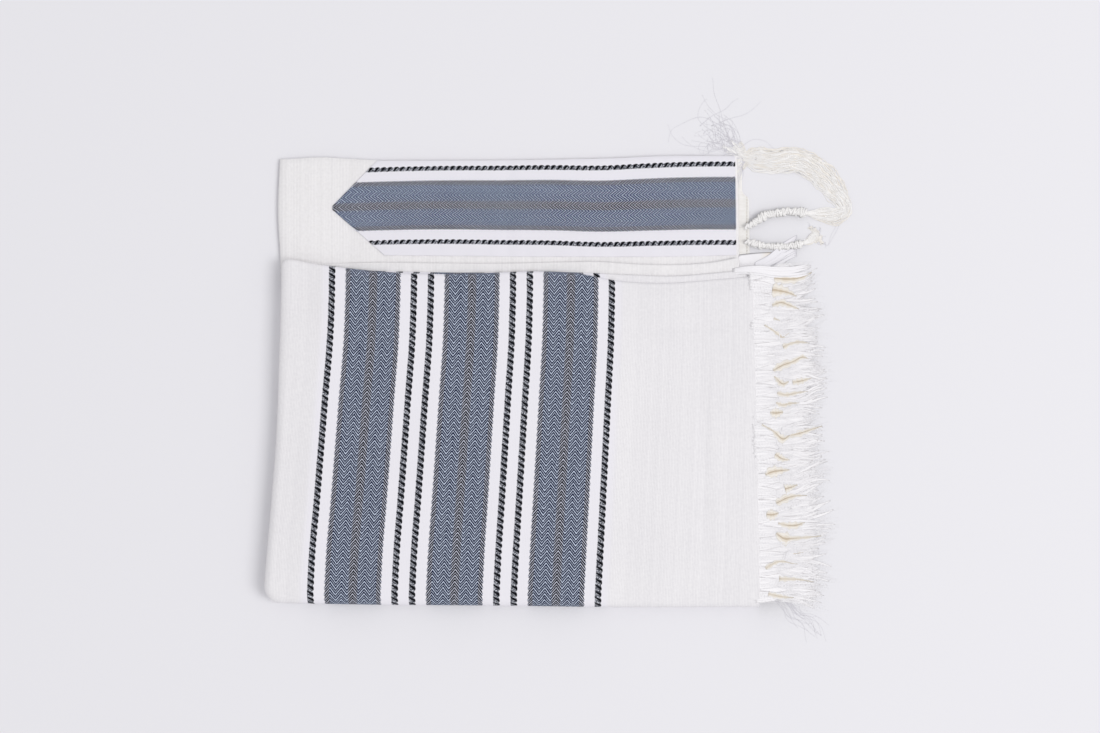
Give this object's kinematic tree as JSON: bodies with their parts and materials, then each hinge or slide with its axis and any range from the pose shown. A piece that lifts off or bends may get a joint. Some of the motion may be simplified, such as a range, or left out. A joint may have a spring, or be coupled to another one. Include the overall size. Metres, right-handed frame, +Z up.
{
  "type": "folded tallit prayer shawl",
  "caption": "White tallit prayer shawl with blue and black woven stripes, folded flat, with a pointed neckband, knotted end fringe and corner tassels.",
  "frame": {"origin": "middle of the folded cloth's flat underside, on the surface that it lies on", "axes": "+Z up out of the surface; +X from the folded left edge towards the fringe; +Y from the rolled lower fold towards the neckband's edge"},
  "size_m": [0.5198, 0.4792, 0.0181],
  "materials": {
    "striped_wool": "matt plain-woven wool, cream white, with blue and white herringbone stripes and thin black and white twisted stripes",
    "plain_wool": "matt plain-woven wool, cream white",
    "neckband_weave": "matt woven band, blue and white herringbone with black and cream centre line between white margins",
    "corner_cloth": "matt closely woven cream cloth, stitched edge",
    "fringe_yarn": "matt soft cream warp yarn, knotted in groups",
    "tzitzit_cord": "matt twisted white wool cord, frayed at its ends"
  },
  "bodies": {
    "root": {"front_panel": "striped_wool", "third_fold": "striped_wool", "second_fold": "plain_wool", "back_panel": "plain_wool", "hidden_layers": "plain_wool", "neckband": "neckband_weave", "corner_patch": "corner_cloth", "fringe_front": "fringe_yarn", "fringe_under": "fringe_yarn", "tzitzit_upper": "tzitzit_cord", "tzitzit_lower": "tzitzit_cord"}
  },
  "joints": []
}
